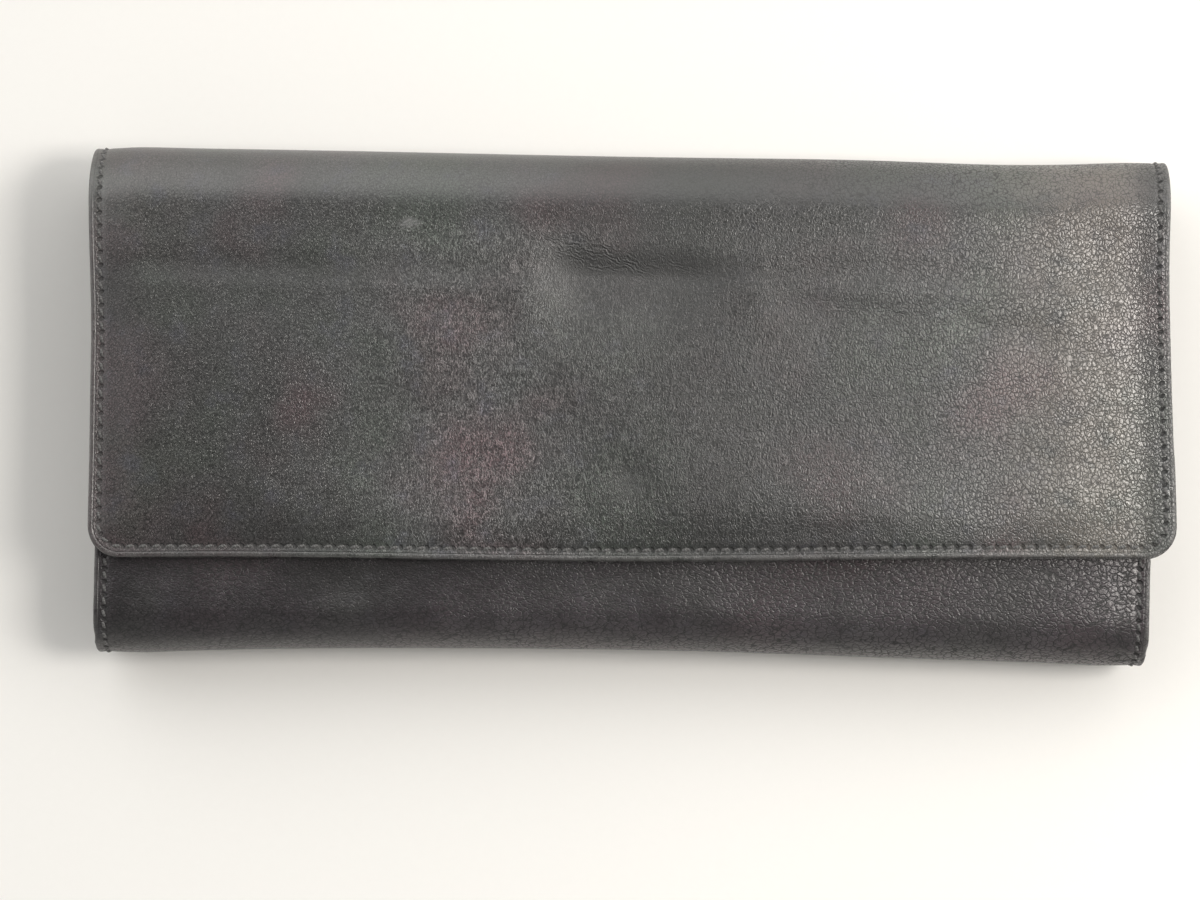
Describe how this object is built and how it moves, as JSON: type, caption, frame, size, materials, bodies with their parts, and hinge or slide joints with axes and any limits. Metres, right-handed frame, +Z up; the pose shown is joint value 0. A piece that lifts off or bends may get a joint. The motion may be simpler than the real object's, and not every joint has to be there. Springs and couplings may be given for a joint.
{
  "type": "long wallet",
  "caption": "Long leather flap wallet with gusseted compartments, a zipped coin pocket, stepped card slots and a hidden snap.",
  "frame": {"origin": "centre of the back face, on the surface the closed wallet lies on", "axes": "+X along the wallet, +Y towards the top fold that the flap hangs from, +Z up out of the front"},
  "size_m": [0.198, 0.094, 0.022],
  "materials": {
    "leather": "charcoal full-grain leather, satin, fine pebble grain, worn edges",
    "lining": "black ribbed lining cloth",
    "gusset": "thin skived leather, fine grain, matt",
    "thread": "dark twisted polyester thread",
    "zip_tape": "black herringbone woven tape",
    "zip_metal": "nickel plated, lightly scuffed",
    "snap_metal": "nickel plated, satin",
    "washer_steel": "plain pressed steel",
    "board": "grey-brown bonded board"
  },
  "bodies": {
    "back": {"back_leather": "leather", "back_lining": "lining", "card_leaf_1": "lining", "card_leaf_2": "lining", "card_leaf_3": "lining", "card_stitching": "thread", "back_stitching": "thread", "bill_gusset_left": "gusset", "bill_gusset_right": "gusset"},
    "spine": {"spine_leather": "leather", "spine_lining": "lining"},
    "flap": {"flap_leather": "leather", "flap_stiffener": "board", "flap_lining": "lining", "flap_facing": "leather", "flap_stitching": "thread", "snap_male": "snap_metal", "snap_male_washer": "washer_steel"},
    "coin_pocket": {"coin_pocket_shell": "lining", "coin_stitching": "thread", "coin_gusset_left": "gusset", "coin_gusset_right": "gusset", "zip_tape_back": "zip_tape", "zip_tape_front": "zip_tape", "zip_teeth_back": "zip_metal", "zip_teeth_front": "zip_metal", "zip_top_stops": "zip_metal", "zip_bottom_stop": "zip_metal", "front_gusset_left": "gusset", "front_gusset_right": "gusset"},
    "front_panel": {"front_leather": "leather", "front_lining": "lining", "front_stitching": "thread", "snap_female": "snap_metal", "snap_female_washer": "washer_steel"},
    "zip_slider": {"zip_slider": "zip_metal"},
    "zip_pull": {"zip_pull": "zip_metal"}
  },
  "joints": [
    {"name": "spine_bend", "type": "hinge", "parent": "back", "child": "spine", "pos_m": [0, 0.04378, 0.00322], "axis": [-1, 0, 0], "range_deg": [0, 90]},
    {"name": "flap_open", "type": "hinge", "parent": "spine", "child": "flap", "pos_m": [0, 0.04378, 0.01878], "axis": [-1, 0, 0], "range_deg": [0, 90]},
    {"name": "coin_pocket_lean", "type": "hinge", "parent": "back", "child": "coin_pocket", "pos_m": [0, -0.047, 0.00945], "axis": [1, 0, 0], "range_deg": [0, 12], "deforming": ["bill_gusset_left", "bill_gusset_right"]},
    {"name": "front_panel_lean", "type": "hinge", "parent": "coin_pocket", "child": "front_panel", "pos_m": [0, -0.047, 0.00945], "axis": [1, 0, 0], "range_deg": [0, 12], "deforming": ["front_gusset_left", "front_gusset_right"]},
    {"name": "zip_slide", "type": "slide", "parent": "coin_pocket", "child": "zip_slider", "axis": [-1, 0, 0], "range_m": [0, 0.144], "deforming": ["zip_teeth_back", "zip_teeth_front"]},
    {"name": "zip_pull_swing", "type": "hinge", "parent": "zip_slider", "child": "zip_pull", "pos_m": [0.073, 0.01975, 0.01005], "axis": [0, 0, -1], "range_deg": [0, 180]}
  ],
  "couplings": [
    {"joint": "spine_bend", "follows": "flap_open", "ratio": 1},
    {"joint": "coin_pocket_lean", "follows": "flap_open", "ratio": 0.13333},
    {"joint": "front_panel_lean", "follows": "flap_open", "ratio": 0.13333}
  ]
}
